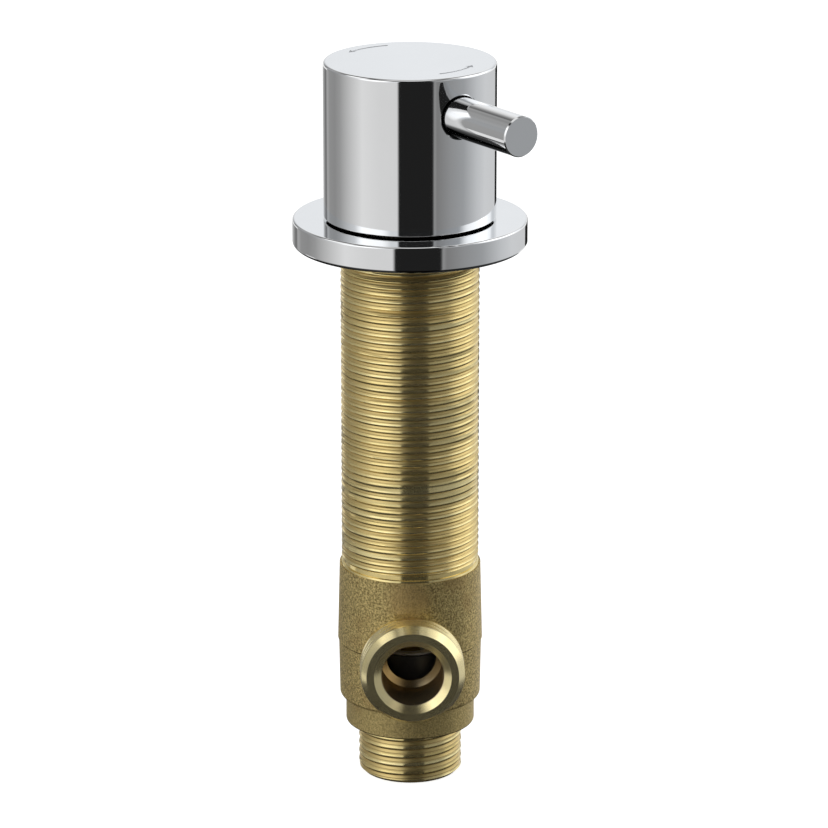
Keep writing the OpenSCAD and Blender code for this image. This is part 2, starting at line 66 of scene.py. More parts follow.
def makeCamera():
    turn = math.radians(cameraSetup["azimuth"])
    tilt = math.radians(cameraSetup["elevation"])
    back = Vector((math.sin(turn) * math.cos(tilt), -math.cos(turn) * math.cos(tilt), math.sin(tilt)))
    data = bpy.data.cameras.new("camera")
    data.lens = cameraSetup["lens"]
    data.sensor_width = cameraSetup["sensor"]
    data.clip_start = 0.01
    data.clip_end = 20
    camera = bpy.data.objects.new("camera", data)
    bpy.context.scene.collection.objects.link(camera)
    camera.location = Vector(cameraSetup["aim"]) + back * cameraSetup["distance"]
    camera.rotation_mode = "QUATERNION"
    camera.rotation_quaternion = (-back).to_track_quat("-Z", "Y")
    bpy.context.scene.camera = camera


makeCamera()
print("camera set")


# Shader maths as plain expressions

class Sock:
    def __init__(self, shader, out):
        self.shader = shader
        self.out = out

    def math(self, operation, *values):
        return self.shader.node("ShaderNodeMath", {"operation": operation}, dict(enumerate(values)))[0]

    def __add__(self, other):
        return self.math("ADD", self, other)

    def __radd__(self, other):
        return self.math("ADD", other, self)

    def __sub__(self, other):
        return self.math("SUBTRACT", self, other)

    def __rsub__(self, other):
        return self.math("SUBTRACT", other, self)

    def __mul__(self, other):
        return self.math("MULTIPLY", self, other)

    def __truediv__(self, other):
        return self.math("DIVIDE", self, other)

    def atan2(self, other):
        return self.math("ARCTAN2", self, other)

    def length(self, other):
        return self.math("SQRT", self * self + other * other)

    # 0 below low, 1 above high, smooth between them
    def step(self, low, high):
        settings = {"interpolation_type": "SMOOTHSTEP", "clamp": True}
        values = {"Value": self, "From Min": low, "From Max": high}
        return self.shader.node("ShaderNodeMapRange", settings, values)[0]


class Shader:
    def __init__(self, owner):
        owner.use_nodes = True
        self.owner = owner
        self.tree = owner.node_tree
        self.tree.nodes.clear()

    # Any node: its settings first, then what goes into its sockets
    def node(self, kind, settings=None, values=None):
        made = self.tree.nodes.new(kind)
        for name, value in (settings or {}).items():
            if name == "stops":
                self.setStops(made.color_ramp, value)
            else:
                setattr(made, name, value)
        for name, value in (values or {}).items():
            if isinstance(value, Sock):
                self.tree.links.new(value.out, made.inputs[name])
            elif value is not None:
                made.inputs[name].default_value = value
        return [Sock(self, out) for out in made.outputs]

    def setStops(self, ramp, stops):
        while len(ramp.elements) < len(stops):
            ramp.elements.new(1)
        for element, (place, colour) in zip(ramp.elements, stops):
            element.position = place
            element.color = (*colour, 1)

    def mix(self, factor, colourA, colourB, blend="MIX"):
        settings = {"data_type": "RGBA", "blend_type": blend}
        sides = [c if isinstance(c, Sock) else (*c, 1) for c in (colourA, colourB)]
        return self.node("ShaderNodeMix", settings, {0: factor, 6: sides[0], 7: sides[1]})[2]

    def place(self):
        return self.node("ShaderNodeTexCoord")[3]

    def split(self, vector):
        return self.node("ShaderNodeSeparateXYZ", None, {0: vector})

    def join(self, x, y, z):
        return self.node("ShaderNodeCombineXYZ", None, {0: x, 1: y, 2: z})[0]

    def cloud(self, vector, scale, detail=2, rough=0.5):
        values = {"Vector": vector, "Scale": scale, "Detail": detail, "Roughness": rough}
        return self.node("ShaderNodeTexNoise", None, values)[0]

    def cells(self, vector, scale):
        return self.node("ShaderNodeTexVoronoi", None, {"Vector": vector, "Scale": scale})[0]

    def bump(self, height, strength, distance, under=None):
        values = {"Height": height, "Strength": strength, "Distance": distance, "Normal": under}
        return self.node("ShaderNodeBump", None, values)[0]

    def finish(self, shader):
        self.node("ShaderNodeOutputMaterial", None, {0: shader})
        return self.owner

    def surface(self, **values):
        named = {name.replace("_", " "): value for name, value in values.items()}
        return self.finish(self.node("ShaderNodeBsdfPrincipled", None, named)[0])


def newMaterial(name):
    return Shader(bpy.data.materials.new(name))


# Finishes

def polishedChrome():
    m = newMaterial("polishedChrome")
    place = m.place()
    smear = m.cloud(place, 90, 3)
    wisp = m.cloud(place, 700, 2)
    ripple = m.bump(m.cloud(place, 55, 1), 0.05, 0.2 * mm)
    return m.surface(
        Base_Color=m.mix(smear, (0.87, 0.875, 0.88), (0.92, 0.925, 0.93)),
        Metallic=1,
        Roughness=0.03 + smear * 0.03 + wisp * 0.015,
        Normal=ripple,
    )


# Painted shade inside the lever's seat: near black, rough chrome
def seatShadeChrome():
    m = newMaterial("seatShadeChrome")
    grain = m.cloud(m.place(), 3000, 3)
    return m.surface(
        Base_Color=m.mix(grain, (0.03, 0.03, 0.03), (0.07, 0.07, 0.07)),
        Metallic=0.8,
        Roughness=0.35 + grain * 0.2,
        Normal=m.bump(grain, 0.2, 0.02 * mm),
    )


def etchedChrome():
    m = newMaterial("etchedChrome")
    grain = m.cloud(m.place(), 5200, 2)
    return m.surface(
        Base_Color=m.mix(grain, (0.50, 0.51, 0.53), (0.66, 0.67, 0.69)),
        Metallic=1,
        Roughness=0.42 + grain * 0.2,
        Normal=m.bump(grain, 0.3, 0.03 * mm),
    )


brassColours = {
    "clean": (1.0, 0.865, 0.445),
    "darkBands": (0.85, 0.67, 0.27),
    "paleBands": (0.92, 0.79, 0.44),
    "worn": (0.70, 0.55, 0.28),
    # Darker brown: painted shade in the thread's grooves
    "groove": (0.72, 0.55, 0.225),
    "bore": (0.61, 0.49, 0.30),
    # Near black: painted shade for the gap under the knob
    "gapShade": (0.02, 0.016, 0.01),
}


# Brass off the lathe, with tool marks that run round Z, or round a line along Y at axisHeight. Over the depth
# of groove inwards from radius it is painted darker and browner, as shade in the thread's grooves, but not
# below cleanBelow. Above gapShadeFrom it is painted near black, as shade in the gap under the knob, and
# inside boreRadius it is a darker brown
def turnedBrass(
    name, radius, groove=0.5 * mm, bands="darkBands", satin=0.08, axisHeight=None, cleanBelow=None,
    gapShadeFrom=None, boreRadius=None
):
    m = newMaterial(name)
    place = m.place()
    x, y, z = m.split(place)
    across = y if axisHeight is None else z - axisHeight
    along = z if axisHeight is None else y
    reach = x.length(across)
    toolMarks = m.cloud(m.join(x * 40, across * 40, along * 2600 + reach * 900), 1, 3)
    ridges = m.cloud(m.join(x * 12, across * 12, along * 520), 1, 2)
    stain = m.cloud(place, 120, 4, 0.6)
    depth = reach.step(radius - groove, radius - 0.03 * mm)
    if cleanBelow is not None:
        depth = depth.math("MAXIMUM", depth, 1 - z.step(cleanBelow, cleanBelow + 0.3 * mm))
    clean = m.mix(ridges.step(0.3, 0.7), brassColours[bands], brassColours["clean"])
    worn = m.mix(stain.step(0.45, 0.75) * 0.4, clean, brassColours["worn"])
    # Painted shade: the thread's roots take the darker groove colour
    colour = m.mix(depth, brassColours["groove"], worn)
    # Painted shade: near black above that height, for the dark gap under the knob
    if gapShadeFrom is not None:
        colour = m.mix(z.step(gapShadeFrom, gapShadeFrom + 0.8 * mm), colour, brassColours["gapShade"])
    if boreRadius is not None:
        outside = reach.step(boreRadius - 0.1 * mm, boreRadius + 0.1 * mm)
        colour = m.mix(outside, brassColours["bore"], colour)
    return m.surface(
        Base_Color=colour,
        Metallic=0.88,
        Roughness=satin + toolMarks * 0.08 + (1 - depth) * 0.2,
        Normal=m.bump(toolMarks, 0.25, 0.02 * mm),
    )


# Places and sizes are in millimetres
castFinish = {
    "dark": (0.27, 0.195, 0.07),
    "light": (0.88, 0.70, 0.30),
    "rusty": (0.42, 0.27, 0.10),
    "bruised": (0.62, 0.50, 0.22),
    # A browner, less grainy spot on the front, over the outlet
    "brownSpot": (0.62, 0.43, 0.18),
    "brownSpotX": -0.5,
    "brownSpotZ": -70.5,
    "brownSpotCore": 2.5,
    "brownSpotReach": 6,
    # The front starts this far before the axis, and its right side is painted darker, as shade
    "front": 9,
    "frontBlend": 2,
    "shade": (0.20, 0.15, 0.06),
    "shadeFrom": 1,
    "shadeFull": 8,
    # Painted shadow: dark lines along the edges
    "edge": (0.10, 0.075, 0.035),
    "edgeCore": 0.06,
    "edgeReach": 0.2,
    # How much of the grain the neck keeps, and how far from its top the grain changes
    "neckGrain": 0.45,
    "neckBlend": 0.5,
}


# Blasted brass with a painted shadow line at each height in edges. Below neckTop it is less grainy
def castBrass(edges, neckTop):
    f = castFinish
    m = newMaterial("castBrass")
    place = m.place()
    x, y, z = m.split(place)
    grain = m.cloud(place, 2600, 4, 0.7)
    pits = m.cells(place, 2100)
    patch = m.cloud(place, 130, 3, 0.6)
    bruise = m.cloud(place, 420, 2)
    blend = f["neckBlend"] * mm
    grainy = f["neckGrain"] + z.step(neckTop - blend, neckTop + blend) * (1 - f["neckGrain"])
    speckle = 0.5 + (grain.step(0.36, 0.64) - 0.5) * grainy
    tone = m.mix(speckle, f["dark"], f["light"])
    rusty = m.mix(patch.step(0.52, 0.7) * 0.45, tone, f["rusty"])
    colour = m.mix(bruise.step(0.6, 0.75) * 0.3, rusty, f["bruised"])
    front = (-f["front"] * mm - y).step(0, f["frontBlend"] * mm)
    spot = (x - f["brownSpotX"] * mm).length(z - f["brownSpotZ"] * mm)
    brownSpot = (1 - spot.step(f["brownSpotCore"] * mm, f["brownSpotReach"] * mm)) * front
    colour = m.mix(brownSpot * (0.15 + patch * 0.9), colour, f["brownSpot"])
    # Painted shade on the front's right side
    shaded = x.step(f["shadeFrom"] * mm, f["shadeFull"] * mm) * front
    colour = m.mix(shaded * 0.25, colour, f["shade"])
    # Painted shadow lines under the edges
    for edge in edges:
        away = (z - edge).math("ABSOLUTE", z - edge)
        colour = m.mix(away.step(f["edgeCore"] * mm, f["edgeReach"] * mm), f["edge"], colour)
    return m.surface(
        Base_Color=colour,
        Metallic=0.78,
        Roughness=0.36 + grain * 0.22,
        Normal=m.bump(pits, 0.5, 0.08 * mm, m.bump(grain, 0.8, 0.1 * mm)),
    )


def rubberSeal():
    m = newMaterial("rubberSeal")
    grain = m.cloud(m.place(), 3000, 3)
    return m.surface(
        Base_Color=m.mix(grain, (0.018, 0.018, 0.02), (0.035, 0.035, 0.038)),
        Roughness=0.5 + grain * 0.2,
        Normal=m.bump(grain, 0.2, 0.02 * mm),
    )


def groundCeramic():
    m = newMaterial("groundCeramic")
    place = m.place()
    haze = m.cloud(place, 400, 3)
    return m.surface(
        Base_Color=m.mix(haze, (0.84, 0.83, 0.79), (0.90, 0.89, 0.86)),
        Roughness=0.12 + haze * 0.1,
        Normal=m.bump(m.cloud(place, 6000, 1), 0.05, 0.01 * mm),
    )


def mouldedPlastic(name, dark, light):
    m = newMaterial(name)
    place = m.place()
    grain = m.cloud(place, 4200, 2)
    return m.surface(
        Base_Color=m.mix(m.cloud(place, 300, 2), dark, light),
        Roughness=0.38 + grain * 0.15,
        Normal=m.bump(grain, 0.15, 0.02 * mm),
    )


def springSteel():
    m = newMaterial("springSteel")
    x, y, z = m.split(m.place())
    brush = m.cloud(m.join(x * 300, y * 300, z * 6000), 1, 3)
    return m.surface(
        Base_Color=m.mix(brush, (0.52, 0.52, 0.54), (0.68, 0.68, 0.70)),
        Metallic=1,
        Roughness=0.24 + brush * 0.14,
        Normal=m.bump(brush, 0.15, 0.01 * mm),
    )


chrome = polishedChrome()
etched = etchedChrome()
seatShade = seatShadeChrome()
innerBrass = turnedBrass("innerBrass", 0.5 * mm)
rubber = rubberSeal()
ceramic = groundCeramic()
blackPlastic = mouldedPlastic("blackPlastic", (0.012, 0.012, 0.014), (0.022, 0.022, 0.025))
whitePlastic = mouldedPlastic("whitePlastic", (0.74, 0.74, 0.70), (0.80, 0.80, 0.77))
steel = springSteel()
print("finishes made")


# Mesh making

def newPiece(name, mesh, material, body, slot, *replaced):
    piece = bpy.data.objects.new(name, mesh)
    bpy.context.scene.collection.objects.link(piece)
    mesh.materials.clear()
    mesh.materials.append(material)
    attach(piece, body)
    if replaced:
        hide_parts(*replaced)


# Smooth shading, but for edges that turn by more than 28 degrees
def soften(mesh):
    mesh.shade_smooth()
    mesh.set_sharp_from_angle(angle=math.radians(28))


def meshFrom(shape, name):
    bmesh.ops.recalc_face_normals(shape, faces=shape.faces)
    mesh = bpy.data.meshes.new(name)
    shape.to_mesh(mesh)
    shape.free()
    return mesh


# An arc of points, of a circle or of an ellipse with the height given
def arc(x, z, radius, start, end, steps, height=None):
    turns = [math.radians(start + (end - start) * i / steps) for i in range(steps + 1)]
    return [(x + radius * math.cos(t), z + (height or radius) * math.sin(t)) for t in turns]


# Extra points near both ends of long straights, so that smooth shading leaves them straight
def braced(outline):
    inset = 0.06
    points = []
    for start, end in zip(outline, outline[1:] + outline[:1]):
        points.append(start)
        length = math.dist(start, end)
        if length > 1 and start[0] + end[0] > 1e-6:
            for share in (inset / length, 1 - inset / length):
                points.append([start[i] + (end[i] - start[i]) * share for i in range(2)])
    return points


# A closed outline of (radius, height) points in millimetres, turned about Z
def lathe(outline, steps=192):
    shape = bmesh.new()
    rings = []
    for radius, height in braced(outline):
        if radius < 1e-6:
            rings.append([shape.verts.new((0, 0, height * mm))] * steps)
            continue
        ring = []
        for i in range(steps):
            turn = 2 * math.pi * i / steps
            x = radius * mm * math.cos(turn)
            y = radius * mm * math.sin(turn)
            ring.append(shape.verts.new((x, y, height * mm)))
        rings.append(ring)
    for low, high in zip(rings, rings[1:] + rings[:1]):
        for i in range(steps):
            corners = [low[i], low[(i + 1) % steps], high[(i + 1) % steps], high[i]]
            corners = list(dict.fromkeys(corners))
            if len(corners) > 2:
                shape.faces.new(corners)
    return meshFrom(shape, "lathe")


# A threaded rod from low to high, closed at both ends. Rows of points follow the helix. For each row the form
# says how far along the pitch and how deep it lies. The thread fades over the lengths in runOut at its ends
def threadedRod(crest, thread, low, high, runOut):
    pitch = thread["pitch"]
    form = thread["form"]
    steps = thread["steps"]
    shape = bmesh.new()
    turns = math.ceil((high - low) / pitch) + 4
    rows = [(turn + share, sink) for turn in range(turns) for share, sink in form]
    grid = []
    for i in range(steps):
        angle = 2 * math.pi * i / steps
        right = math.cos(angle)
        back = math.sin(angle)
        column = []
        for share, sink in rows:
            height = low + (share - 2 + i / steps) * pitch
            fade = 1
            if runOut[0]:
                fade = min(fade, max(0, (height - low) / runOut[0]))
            if runOut[1]:
                fade = min(fade, max(0, (high - height) / runOut[1]))
            wobble = 1 + thread["wander"] * sum(
                noise.noise(Vector((right * 0.6, back * 0.6, height * often))) for often in (0.9, 0.17)
            )
            radius = crest - thread["depth"] * sink * fade * wobble
            column.append(shape.verts.new((radius * right * mm, radius * back * mm, height * mm)))
        grid.append(column)
    # After a whole turn the rows meet those of the next pitch
    for i in range(steps):
        column = grid[i]
        after = grid[(i + 1) % steps]
        shift = len(form) if i == steps - 1 else 0
        for j in range(len(rows) - 1 - shift):
            k = j + shift
            shape.faces.new((column[j], after[k], after[k + 1], column[j + 1]))
    for height, way in ((low, -1), (high, 1)):
        everything = list(shape.verts) + list(shape.edges) + list(shape.faces)
        bmesh.ops.bisect_plane(
            shape, geom=everything, dist=1e-7, plane_co=(0, 0, height * mm), plane_no=(0, 0, way),
            clear_outer=True
        )
    rims = [edge for edge in shape.edges if edge.is_boundary]
    bmesh.ops.holes_fill(shape, edges=rims, sides=0)
    return meshFrom(shape, "thread")


# Cuts, joins or keeps the overlap of closed meshes, in turn
def carve(mesh, *cuts):
    holder = bpy.context.scene.collection
    work = bpy.data.objects.new("work", mesh)
    holder.objects.link(work)
    tools = []
    for operation, other in cuts:
        tool = bpy.data.objects.new("tool", other)
        holder.objects.link(tool)
        tools.append(tool)
        modifier = work.modifiers.new("cut", "BOOLEAN")
        modifier.operation = operation
        modifier.solver = "MANIFOLD"
        modifier.object = tool
    bpy.context.view_layer.update()
    evaluated = work.evaluated_get(bpy.context.evaluated_depsgraph_get())
    made = bpy.data.meshes.new_from_object(evaluated)
    for thing in [work, *tools]:
        bpy.data.objects.remove(thing)
    return made


def turned(mesh, matrix):
    mesh.transform(matrix)
    return mesh


# The corners of a CAD node's box, in millimetres
def boxCorners(name):
    low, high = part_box(name)
    return [value / mm for value in low], [value / mm for value in high]


# How far a cutter reaches past what it cuts, in millimetres
spare = 1
toOutlet = Matrix.Translation((0, 0, outletHeight)) @ Matrix.Rotation(math.radians(90), 4, "X")


# The brass body: a long threaded shank, a blasted casting and two threaded connections

# Heights and radii in millimetres. The outlet's lengths are measured out from the valve's axis
brassBody = {
    "topChamfer": 0.3,
    "band": -65.3,
    "bandRadius": 13.55,
    "bandOverlap": 0.2,
    # Radius, and height over the casting
    "lip": [(13.95, 0), (13.85, 0.35), (13.55, 0.48)],
    "cast": -66.6,
    "castRadius": 14.25,
    "castSteps": 256,
    "crease": -82.9,
    "creaseRadius": 14.65,
    "creaseStep": 0.2,
    "creaseGroove": 0.2,
    "belt": -94.8,
    "beltRound": 0.6,
    "neckRadius": 13.05,
    "neckFillet": 0.4,
    "shoulder": -100.45,
    "shoulderRound": 0.3,
    # Heights of the casting's painted shadow lines
    "shadowLineHeights": (-82.9, -94.85, -100.3),
    "boreSteps": 128,
    "boreRadius": 10.3,
    "cartridgeThread": 9.5,
    "chamber": 8.3,
    "passage": 5.25,
    "ledge": 3.2,
    "seat": -92.5,
    "step": -71.0,
    "hexFloor": -64.0,
    "inletBore": 6.9975,
    "inletChamfer": 0.8,
    "outletFace": 20.6,
    "outletRelief": 14.0,
    "reliefRadius": 11.43,
    "rootRadius": 10.23,
    "rootOverlap": 0.1,
    "outletChamfer": 2,
    "faceRing": 9.25,
    "bevelRing": 7.75,
    "bevelDepth": 1.12,
    "outletBore": 6.25,
    "outletHole": 5,
    "endWall": 8.93,
    "drillTip": 0.9,
    # A round cutter that clears all behind the axis
    "clearSteps": 64,
    "clearRadius": 40,
    "clearTop": -60,
    "clearBottom": -110,
}
shankThread = {
    "pitch": 1.4,
    "depth": 0.31,
    "form": [
        (0, 0.05), (0.04, 0), (0.12, 0.04), (0.18, 0.18), (0.40, 0.54), (0.48, 0.47), (0.68, 0.94), (0.74, 1)
    ],
    "steps": 176,
    # How uneven the depth is
    "wander": 0.85,
    "runOut": (0.7, 0.8),
    # How far the thread starts below the band's top
    "sunk": 0.4,
}
pipeThread = {
    "pitch": 1.814,
    "depth": 0.36,
    "form": [
        (0, 0.04), (0.03, 0), (0.11, 0.04), (0.16, 0.16), (0.40, 0.52), (0.47, 0.45), (0.68, 0.92), (0.75, 1)
    ],
    "steps": 144,
    "wander": 0.1,
    "inletRunOut": (0, 1.2),
    "outletRunOut": (1.0, 0),
    # Where the outlet's thread starts, in degrees
    "outletTurn": 180,
}

shankRadius = mountOf["shank_clamp"]["dims"]["r_mm"] * mm
inletRadius = mountOf["inlet_thread"]["dims"]["r_mm"] * mm
outletRadius = mountOf["outlet_thread"]["dims"]["r_mm"] * mm
# The shank above the escutcheon's top is painted near black, as shade in the gap under the knob
shankBrass = turnedBrass(
    "shankBrass", shankRadius, groove=0.18 * mm, cleanBelow=-65.2 * mm, gapShadeFrom=0.2 * mm
)
inletBrass = turnedBrass("inletBrass", inletRadius, groove=0.2 * mm)
outletBrass = turnedBrass(
    "outletBrass", 4 * mm, bands="paleBands", satin=0.18, axisHeight=outletHeight, boreRadius=6.35 * mm
)
casting = castBrass([height * mm for height in brassBody["shadowLineHeights"]], brassBody["belt"] * mm)


# The stepped bore from end to end, as a solid to take away
def boreCutter():
    b = brassBody
    low, high = boxCorners("valve_body")
    top = high[2] + spare
    bottom = low[2] - spare
    cone = b["inletBore"] - b["passage"]
    return lathe([
        (0, bottom), (b["inletBore"], bottom), (b["inletBore"], b["seat"] - b["ledge"] - cone),
        (b["passage"], b["seat"] - b["ledge"]), (b["passage"], b["seat"]), (b["chamber"], b["seat"]),
        (b["chamber"], b["step"]), (b["cartridgeThread"], b["step"]), (b["cartridgeThread"], b["hexFloor"]),
        (b["boreRadius"], b["hexFloor"]), (b["boreRadius"], top), (0, top),
    ], b["boreSteps"])


def makeShank():
    b = brassBody
    t = shankThread
    top = boxCorners("valve_body")[1][2]
    crest = shankRadius / mm
    edge = b["topChamfer"]
    rod = threadedRod(crest, t, b["band"] - t["sunk"], top, t["runOut"])
    lip = [(0, b["cast"])] + [(radius, b["cast"] + rise) for radius, rise in b["lip"]]
    envelope = lathe(lip + [
        (b["bandRadius"], b["band"]), (crest, b["band"] + edge), (crest, top - edge), (crest - edge, top),
        (0, top),
    ], 2 * t["steps"])
    bandTop = b["band"] + b["bandOverlap"]
    band = lathe(lip + [(b["bandRadius"], bandTop), (0, bandTop)], 2 * t["steps"])
    mesh = carve(rod, ("INTERSECT", envelope), ("UNION", band), ("DIFFERENCE", boreCutter()))
    soften(mesh)
    newPiece("body_shank", mesh, shankBrass, "valve", "brass_turned", "valve_body")


def makeCasting():
    b = brassBody
    foot = b["shoulderRound"]
    fillet = b["neckFillet"]
    belt = b["beltRound"]
    groove = b["creaseGroove"]
    below = b["creaseRadius"] - b["creaseStep"]
    crease = b["crease"]
    outer = lathe(
        [(0, b["shoulder"])]
        + arc(b["neckRadius"] - foot, b["shoulder"] + foot, foot, -90, 0, 6)
        + arc(b["neckRadius"] + fillet, b["belt"] - fillet, fillet, 180, 90, 5)
        + arc(b["castRadius"] - belt, b["belt"] + belt, belt, -90, 0, 6)
        + [(below, crease - groove), (below - groove, crease), (b["creaseRadius"], crease + groove)]
        + [(b["castRadius"], b["cast"]), (0, b["cast"])],
        b["castSteps"],
    )
    relief = turned(lathe([
        (0, b["outletRelief"]), (b["reliefRadius"], b["outletRelief"]),
        (b["reliefRadius"], b["outletFace"]), (0, b["outletFace"]),
    ]), toOutlet)
    socket = turned(lathe([
        (0, 0), (b["rootRadius"], 0), (b["rootRadius"], b["outletFace"]), (0, b["outletFace"]),
    ]), toOutlet)
    mesh = carve(outer, ("DIFFERENCE", relief), ("DIFFERENCE", socket), ("DIFFERENCE", boreCutter()))
    soften(mesh)
    newPiece("body_casting", mesh, casting, "valve", "brass_casting", "valve_body")


def makeInlet():
    b = brassBody
    t = pipeThread
    bottom = boxCorners("valve_body")[0][2]
    crest = inletRadius / mm
    rod = threadedRod(crest, t, bottom - spare, b["shoulder"], t["inletRunOut"])
    envelope = lathe([
        (0, bottom), (crest - b["inletChamfer"], bottom), (crest, bottom + b["inletChamfer"]),
        (crest, b["shoulder"]), (0, b["shoulder"]),
    ], 2 * t["steps"])
    mesh = carve(rod, ("INTERSECT", envelope), ("DIFFERENCE", boreCutter()))
    soften(mesh)
    newPiece("body_inlet", mesh, inletBrass, "valve", "brass_turned", "valve_body")


def makeOutlet():
    b = brassBody
    t = pipeThread
    crest = outletRadius / mm
    face = b["outletFace"]
    rod = threadedRod(crest, t, b["outletRelief"], face + spare, t["outletRunOut"])
    rootEnd = b["outletRelief"] + b["rootOverlap"]
    root = lathe([(0, 0), (b["rootRadius"], 0), (b["rootRadius"], rootEnd), (0, rootEnd)])
    envelope = lathe([
        (0, 0), (crest, 0), (crest, face - b["outletChamfer"]), (b["faceRing"], face), (0, face),
    ], 2 * t["steps"])
    hole = lathe([
        (0, -spare), (b["outletHole"], -spare), (b["outletHole"], b["endWall"]),
        (b["outletBore"], b["endWall"] + b["drillTip"]), (b["outletBore"], face - b["bevelDepth"]),
        (b["bevelRing"], face), (b["bevelRing"], face + spare), (0, face + spare),
    ], t["steps"])
    turned(rod, Matrix.Rotation(math.radians(t["outletTurn"]), 4, "Z"))
    boss = carve(rod, ("UNION", root), ("INTERSECT", envelope), ("DIFFERENCE", hole))
    turned(boss, toOutlet)
    mesh = carve(boss, ("DIFFERENCE", boreCutter()))
    clear = b["clearRadius"]
    behind = lathe([
        (0, b["clearTop"]), (clear, b["clearTop"]), (clear, b["clearBottom"]), (0, b["clearBottom"]),
    ], b["clearSteps"])
    turned(behind, Matrix.Translation((0, clear * mm, 0)))
    mesh = carve(mesh, ("DIFFERENCE", behind))
    soften(mesh)
    newPiece("body_outlet", mesh, outletBrass, "valve", "brass_turned", "valve_body")


makeShank()
makeCasting()
makeInlet()
makeOutlet()
print("brass body made")


# The chrome knob, its lever pin and the escutcheon

knobShape = {
    "steps": 320,
    # How far the buffed top edge rounds inwards and down
    "buffedIn": 0.60,
    "buffedDown": 0.62,
    # The rim reaches this much closer to the escutcheon
    "rim": 0.3,
    "rimRound": 0.2,
    "cavity": 14.7,
    "ceiling": 33.95,
    "hub": 8.5,
    "hubBottom": 22.75,
    "insert": 6.1,
    "boss": 5.8,
    # How far the hub and the boss reach into the shell
    "overlap": 0.5,
    # The lever's seat and the bevel round its mouth
    "seat": 4.3,
    "seatDepth": 1.3,
    "bevel": 0.2,
    "bevelDepth": 0.15,
    "tailRadius": 3.05,
    # Engraved arrows on top, in degrees round from +X
    "arrows": [
        {"radius": 13.9, "start": 107, "end": 142},
        {"radius": 12.8, "start": -65, "end": -27},
    ],
    "arrowLine": 0.55,
    "arrowHead": 1.5,
    # Half the head's width, as a share of its length
    "arrowFlare": 0.55,
    "arrowDepth": 0.08,
}
leverShape = {
    "steps": 128,
    "radius": 4,
    "reach": 36.4,
    "height": 28.95,
    # Degrees round from -Y, where the outlet is
    "angle": 34,
    "tail": 3.0,
    "tailStart": 4.05,
    "tailChamfer": 0.5,
    "chamfer": 0.2,
    "chamferLength": 0.3,
}
escutcheonShape = {
    "steps": 320,
    "round": 0.8,
    "topRound": 0.5,
    "bore": 13.9,
    "gasketInner": 16.45,
    "gasketOuter": 20.55,
    "gasketHeight": 2,
}
toLever = (
    Matrix.Translation((0, 0, leverShape["height"] * mm))
    @ Matrix.Rotation(math.radians(leverShape["angle"]), 4, "Z")
    @ Matrix.Rotation(math.radians(90), 4, "X")
)


# An arc arrow to cut into the knob's top
def arrowTool(arrow, low, high):
    k = knobShape
    radius = arrow["radius"]
    start = arrow["start"]
    end = arrow["end"]
    flare = k["arrowHead"] * k["arrowFlare"]
    steps = 24
    inner = []
    outer = []
    for i in range(steps + 1):
        turn = math.radians(start + (end - start) * i / steps)
        inner.append((radius - k["arrowLine"] / 2, turn))
        outer.append((radius + k["arrowLine"] / 2, turn))
    neck = math.radians(end)
    tip = neck + k["arrowHead"] / radius
    head = [(radius - flare, neck), (radius, tip), (radius + flare, neck)]
    points = [(r * mm * math.cos(t), r * mm * math.sin(t)) for r, t in inner + head + outer[::-1]]
    shape = bmesh.new()
    floor = [shape.verts.new((x, y, low * mm)) for x, y in points]
    roof = [shape.verts.new((x, y, high * mm)) for x, y in points]
    shape.faces.new(floor)
    shape.faces.new(roof)
    for i in range(len(points)):
        j = (i + 1) % len(points)
        shape.faces.new((floor[i], floor[j], roof[j], roof[i]))
    return meshFrom(shape, "arrow")


# A ring that cuts an even bevel where the lever's seat meets the knob's round side
def bevelCutter(knobRadius):
    k = knobShape
    hole = k["seat"]
    margin = 0.2
    slope = k["bevelDepth"] / k["bevel"]
    profile = [
        (hole - margin, -k["bevelDepth"] - margin * slope),
        (hole + k["bevel"] + margin, margin * slope),
        (hole - margin, 2 * margin),
    ]
    steps = 96
    shape = bmesh.new()
    rings = []
    for i in range(steps):
        turn = 2 * math.pi * i / steps
        rings.append([])
        for reach, proud in profile:
            across = reach * math.sin(turn)
            out = math.sqrt(knobRadius ** 2 - across ** 2) + proud
            rings[-1].append(shape.verts.new((across * mm, reach * math.cos(turn) * mm, out * mm)))
    for ring, after in zip(rings, rings[1:] + rings[:1]):
        for j in range(3):
            n = (j + 1) % 3
            shape.faces.new((ring[j], ring[n], after[n], after[j]))
    return meshFrom(shape, "seatBevel")


